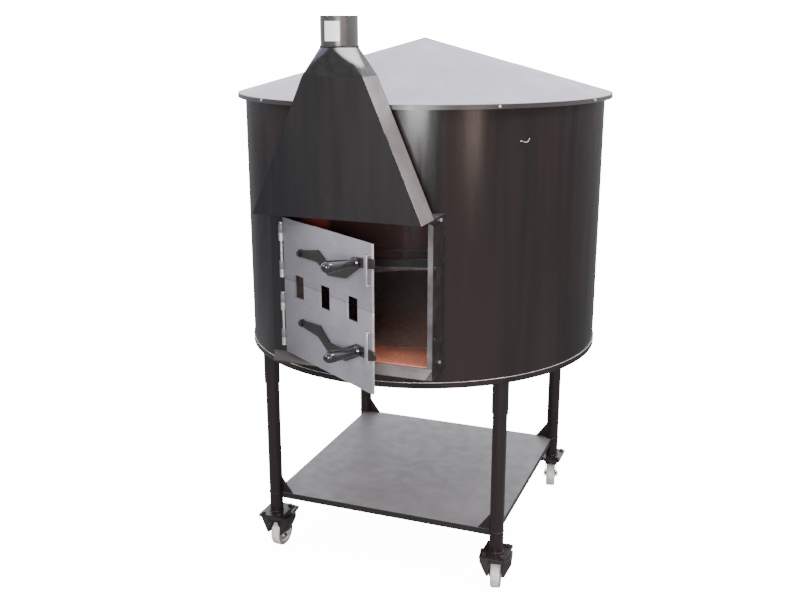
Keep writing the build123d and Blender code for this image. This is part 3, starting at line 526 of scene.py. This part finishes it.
def weld(name, corners, radius, body, slot, closed=False):
    """A hand-laid weld bead along straight runs between corners, rippled every few millimetres."""
    points = []
    legs = list(zip(corners, corners[1:] + (corners[:1] if closed else [])))
    if not closed:
        legs = legs[:len(corners) - 1]
    for start, end in legs:
        steps = max(2, int((end - start).length / (WELD_PITCH / 2)))
        points += [start.lerp(end, k / steps) for k in range(steps)]
    if not closed:
        points.append(corners[-1])
    radii = []
    for index, point in enumerate(points):
        ripple = 0.12 if index % 2 else -0.1
        wander = 0.25 * noise.noise(point * 60.0)
        radii.append(radius * (1 + ripple + wander))
    mesh = tube_mesh(name, points, radii, 8, closed)
    return piece(name, mesh, MATERIALS[slot], body)


def ring(radius, z, centre, count=48):
    turn = [radians(360 * k / count) for k in range(count)]
    return [Vector((centre[0] + radius * cos(a), centre[1] + radius * sin(a), z)) for a in turn]


LEAF_ANGLE = radians(33)
ALONG_LEAF = Vector((cos(LEAF_ANGLE), -sin(LEAF_ANGLE), 0))
ACROSS_LEAF = Vector((sin(LEAF_ANGLE), cos(LEAF_ANGLE), 0))
leaf_low, leaf_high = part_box("lower_leaf")
LEAF_CORNER = Vector((leaf_high.x, leaf_low.y, 0))


def at_free_edge(face):
    return face.normal.dot(ALONG_LEAF) > 0.7 and (LEAF_CORNER - face.center).dot(ALONG_LEAF) < 0.03


def on_guide_edge(face):
    return abs(face.normal.dot(ACROSS_LEAF)) < 0.9


SECOND_FINISH = {
    # Painted highlight: the leaves' free edge face is given bright steel.
    "lower_leaf": (at_free_edge, "bright_steel"),
    "upper_leaf": (at_free_edge, "bright_steel"),
    # Painted highlight: the guides' edge faces are given bright steel to draw light outlines.
    "lower_guide": (on_guide_edge, "bright_steel"),
    "upper_guide": (on_guide_edge, "bright_steel"),
    "wheel": (lambda face: abs(face.normal.x) > 0.8, "wheel_core"),
}


OUTSIDE_LIMIT = 0.00002
SHARP_ANGLE = radians(40)
FLAT_ANGLE = radians(1.5)
SAME_POINT = 1e-6


def softened(node, width):
    """A copy of a CAD node with its outer sharp edges rounded, shown in its place.

    Edges that meet an inside corner stay sharp. A corner pushed outside is drawn back to the surface.
    """
    mesh = NODES[node].data.copy()
    solid = BVHTree.FromPolygons([v.co for v in mesh.vertices], [tuple(p.vertices) for p in mesh.polygons])
    bm = bmesh.new()
    bm.from_mesh(mesh)
    bmesh.ops.remove_doubles(bm, verts=bm.verts, dist=SAME_POINT)
    bmesh.ops.dissolve_limit(bm, angle_limit=FLAT_ANGLE, verts=bm.verts, edges=bm.edges)
    bm.normal_update()
    sharp = [e for e in bm.edges if len(e.link_faces) == 2 and e.calc_face_angle(0) > SHARP_ANGLE]
    inside = {v for e in sharp if not e.is_convex for v in e.verts}
    sharp = [e for e in sharp if e.is_convex and not inside.intersection(e.verts)]
    bmesh.ops.bevel(
        bm, geom=sharp, offset=width, segments=2, profile=0.5, affect="EDGES", clamp_overlap=True,
    )
    for vertex in bm.verts:
        point, normal, _, away = solid.find_nearest(vertex.co)
        if away > OUTSIDE_LIMIT and (vertex.co - point).dot(normal) > -0.1 * away:
            vertex.co = point
    bmesh.ops.triangulate(bm, faces=[f for f in bm.faces if len(f.verts) > 4])
    bmesh.ops.dissolve_degenerate(bm, dist=SAME_POINT, edges=bm.edges)
    bm.to_mesh(mesh)
    bm.free()
    mesh.name = node + "_rounded"
    smooth(mesh, 30)
    facing = SECOND_FINISH.get("wheel" if node.startswith("wheel_") else node)
    material = NODES[node].data.materials[0]
    rounded = piece(node + "_rounded", mesh, material, BODY_OF[node])
    if facing:
        test, other = facing
        mesh.materials.append(MATERIALS[other])
        for face in mesh.polygons:
            if test(face):
                face.material_index = 1
    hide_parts(node)


# ---------------------------------------------------------------- rounded edges

DOOR_EDGE, SMALL_EDGE, FORK_EDGE, WHEEL_EDGE = 0.0008, 0.0006, 0.0012, 0.0015

for node in (
    "lower_lever", "upper_lever", "ash_lip", "lower_leaf", "upper_leaf",
    "latch_keepers", "lower_guide", "upper_guide",
):
    softened(node, DOOR_EDGE)
for node in ("shelf_gussets", "hood_tabs", "caster_plates"):
    softened(node, SMALL_EDGE)
for node in NODES:
    if node.startswith(("fork_", "pedal_")):
        softened(node, FORK_EDGE)
    elif node.startswith("wheel_"):
        softened(node, WHEEL_EDGE)


# ---------------------------------------------------------------- welds

def make_welds():
    side_y = frame_high.y + 0.0006
    transition_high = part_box("hood_transition")[1]
    for side, name in ((-1, "left"), (1, "right")):
        x = side * frame_high.x
        low = Vector((x, side_y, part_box("frame_sill")[0].z + 0.004))
        high = Vector((x, side_y, hood_low.z - 0.02))
        weld(f"weld_frame_{name}", [low, high], 0.0032, "oven", "drum_paint")
        hood_corner = Vector((side * (hood_high.x - 0.001), hood_low.y + 0.0015, hood_low.z))
        hood_top = Vector((side * (transition_high.x - 0.0012), hood_low.y + 0.0015, hood_high.z))
        # Painted highlight: the bead down each hood front corner is bright steel, drawing a light line
        # along the edge.
        weld(f"weld_hood_{name}", [hood_corner, hood_top], 0.0012, "oven", "bright_steel")
    collar_foot = ring(COLLAR_R, collar_low.z, (0, COLLAR_Y))
    weld("weld_collar", collar_foot, 0.0026, "oven", "hood_paint", closed=True)
    legs = [n for n in NODES if n.startswith("leg_") and n != "leg_sleeves"]
    base_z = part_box("drum_base")[0].z
    sleeve_low, sleeve_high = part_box("leg_sleeves")
    leg_edge_x = (sleeve_high.x - sleeve_low.x) / 2
    sleeve_r = leg_edge_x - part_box("leg_front_right")[0].x / 2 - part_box("leg_front_right")[1].x / 2
    shelf_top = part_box("shelf")[1].z
    for leg in legs:
        low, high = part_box(leg)
        centre = ((low.x + high.x) / 2, (low.y + high.y) / 2)
        tube_r = sleeve_r - 0.003
        for place, radius, z, bead_r in (
            ("top", sleeve_r, base_z - 0.001, 0.0026),
            ("foot", tube_r, low.z + 0.0058, 0.0024),
            ("shelf", tube_r, shelf_top + 0.0006, 0.0018),
        ):
            corners = ring(radius, z, centre, 36)
            weld(f"weld_{leg}_{place}", corners, bead_r, "oven", "leg_paint", closed=True)
    band_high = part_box("drum_base")[1].z
    band = ring(DRUM_R + 0.0022, band_high, (0, AXIS_Y), 180)
    bead = tube_mesh("band_bead", band, [0.0011] * len(band), 8, closed=True)
    piece("band_bead", bead, MATERIALS["bright_steel"], "oven")
    back = on_circle(DRUM_R, 90, drum_low.z + 0.02)
    weld("weld_drum_seam", [back, on_circle(DRUM_R, 90, lid_low.z - 0.002)], 0.0016, "oven", "drum_paint")


make_welds()


# ---------------------------------------------------------------- small parts on the drum, lid and collar

def make_rim_screws():
    """Pan-head screws through the lid's turned-down rim."""
    count, first, head_r, head_h = 10, -50.6, 0.0042, 0.0028
    bm = bmesh.new()
    z = lid_low.z + 0.007
    for index in range(count):
        angle = first + 36 * index
        centre = on_circle(LID_R, angle, z)
        outward = Vector((cos(radians(angle)), sin(radians(angle)), 0))
        turn = outward.to_track_quat("Z", "Y").to_matrix().to_4x4()
        turn.translation = centre + outward * 0.001
        bmesh.ops.create_uvsphere(bm, u_segments=16, v_segments=8, radius=head_r, matrix=turn)
    for vertex in bm.verts:
        radial = Vector((vertex.co.x, vertex.co.y - AXIS_Y, 0))
        excess = radial.length - LID_R
        if excess > head_h:
            vertex.co -= radial.normalized() * (excess - head_h)
    mesh = bpy.data.meshes.new("rim_screws")
    bm.to_mesh(mesh)
    bm.free()
    smooth(mesh, 40)
    piece("rim_screws", mesh, MATERIALS["zinc"], "oven")


def make_tool_hook():
    """A short bent wire welded to the drum wall, for hanging a tool."""
    angle, z = -41.7, lid_low.z - 0.0895
    bend = [
        (-1.3, 0.0, 0.0), (-0.6, 0.001, 0.0), (-0.6, 0.008, -0.001),
        (0.0, 0.011, -0.002), (0.7, 0.011, 0.001), (1.0, 0.011, 0.009),
    ]
    points = [on_circle(DRUM_R + 0.0015 + out, angle + turn, z + up) for turn, out, up in bend]
    fine = []
    for start, end in zip(points, points[1:]):
        fine += [start.lerp(end, k / 4) for k in range(4)]
    fine.append(points[-1])
    mesh = tube_mesh("tool_hook", fine, [0.0013] * len(fine), 10)
    piece("tool_hook", mesh, MATERIALS["bright_steel"], "oven")


def make_label():
    """A blank stock label stuck on the collar."""
    bm = bmesh.new()
    low_z, high_z = collar_high.z - 0.0615, collar_high.z - 0.0135
    start, end, steps = -113.5, -64.0, 16
    angles = [start + (end - start) * k / steps for k in range(steps + 1)]
    grid = []
    for radius in (COLLAR_R + 0.0001, COLLAR_R + 0.0005):
        rows = []
        for z in (low_z, high_z):
            rows.append([bm.verts.new(on_circle(radius, a, z, COLLAR_Y)) for a in angles])
        grid.append(rows)
    (inner_low, inner_high), (outer_low, outer_high) = grid
    for k in range(steps):
        bm.faces.new((outer_low[k], outer_low[k + 1], outer_high[k + 1], outer_high[k]))
        bm.faces.new((inner_low[k + 1], inner_low[k], inner_high[k], inner_high[k + 1]))
        bm.faces.new((inner_low[k], inner_low[k + 1], outer_low[k + 1], outer_low[k]))
        bm.faces.new((outer_high[k], outer_high[k + 1], inner_high[k + 1], inner_high[k]))
    for k in (0, steps):
        bm.faces.new((inner_low[k], outer_low[k], outer_high[k], inner_high[k]))
    bmesh.ops.recalc_face_normals(bm, faces=bm.faces)
    mesh = bpy.data.meshes.new("collar_label")
    bm.to_mesh(mesh)
    bm.free()
    smooth(mesh, 30)
    piece("collar_label", mesh, LABEL, "oven")


make_rim_screws()
make_tool_hook()
make_label()


# ---------------------------------------------------------------- studio

def make_floor():
    size = 40.0
    mesh = bpy.data.meshes.new("studio_floor")
    corners = [(-size, -size, 0), (size, -size, 0), (size, size, 0), (-size, size, 0)]
    mesh.from_pydata(corners, [], [(0, 1, 2, 3)])
    floor = bpy.data.objects.new("studio_floor", mesh)
    bpy.context.scene.collection.objects.link(floor)
    mesh.materials.append(floor_finish())


def make_world():
    """A pale sky that is bright behind and overhead and dim in front, over a white backdrop."""
    world = bpy.data.worlds.new("studio")
    bpy.context.scene.world = world
    world.use_nodes = True
    tree = world.node_tree
    background = tree.nodes["Background"]

    def ramp(source, low, high, to_low, to_high):
        node = tree.nodes.new("ShaderNodeMapRange")
        node.interpolation_type = "SMOOTHSTEP"
        for key, number in (("From Min", low), ("From Max", high), ("To Min", to_low), ("To Max", to_high)):
            node.inputs[key].default_value = number
        tree.links.new(source, node.inputs["Value"])
        return node.outputs["Result"]

    direction = tree.nodes.new("ShaderNodeTexCoord").outputs["Generated"]
    parts = tree.nodes.new("ShaderNodeSeparateXYZ")
    tree.links.new(direction, parts.inputs["Vector"])
    behind = ramp(parts.outputs["Y"], -0.35, 0.55, FRONT_SKY, BACK_SKY)
    above = ramp(parts.outputs["Z"], 0.25, 0.95, 0.0, TOP_SKY)
    sky = tree.nodes.new("ShaderNodeMath")
    sky.operation = "ADD"
    tree.links.new(behind, sky.inputs[0])
    tree.links.new(above, sky.inputs[1])
    seen = tree.nodes.new("ShaderNodeLightPath").outputs["Is Camera Ray"]
    strength = tree.nodes.new("ShaderNodeMix")
    tree.links.new(seen, strength.inputs["Factor"])
    tree.links.new(sky.outputs["Value"], strength.inputs["A"])
    strength.inputs["B"].default_value = BACKDROP
    tree.links.new(strength.outputs["Result"], background.inputs["Strength"])
    background.inputs["Color"].default_value = (0.95, 0.95, 1.0, 1.0)


def softbox(name, position, target, size, power, colour=(1.0, 1.0, 1.0)):
    data = bpy.data.lights.new(name, "AREA")
    data.shape = "RECTANGLE"
    data.size, data.size_y = size
    data.energy = power
    data.color = colour
    light = bpy.data.objects.new(name, data)
    light.location = position
    light.rotation_euler = (Vector(target) - Vector(position)).to_track_quat("-Z", "Y").to_euler()
    bpy.context.scene.collection.objects.link(light)


def make_camera():
    data = bpy.data.cameras.new("camera")
    data.lens = 44.99
    data.sensor_width = 36.0
    data.clip_end = 100.0
    camera = bpy.data.objects.new("camera", data)
    camera.location = (1.0705, AXIS_Y - 3.0124, collar_high.z - 0.0157)
    camera.rotation_euler = (radians(90 - 15.543), 0, radians(20.949))
    bpy.context.scene.collection.objects.link(camera)
    bpy.context.scene.camera = camera


BACKDROP = 30.0
FRONT_SKY = 0.35
BACK_SKY = 2.6
TOP_SKY = 1.3
make_floor()
make_world()
softbox("key", (-2.2, -3.6, 3.6), (0, -0.3, 1.0), (1.6, 1.6), 90)
softbox("warm_strip", (3.0, -2.6, 1.9), (0, AXIS_Y, 1.3), (0.6, 2.2), 45, (1.0, 0.75, 0.62))
softbox("mouth_fill", (0.9, -3.2, 1.5), (0.05, -0.2, 0.85), (0.7, 0.7), 105)
softbox("right_top", (3.2, -0.7, 4.4), (0.1, -0.45, 1.6), (1.3, 1.3), 150)
make_camera()
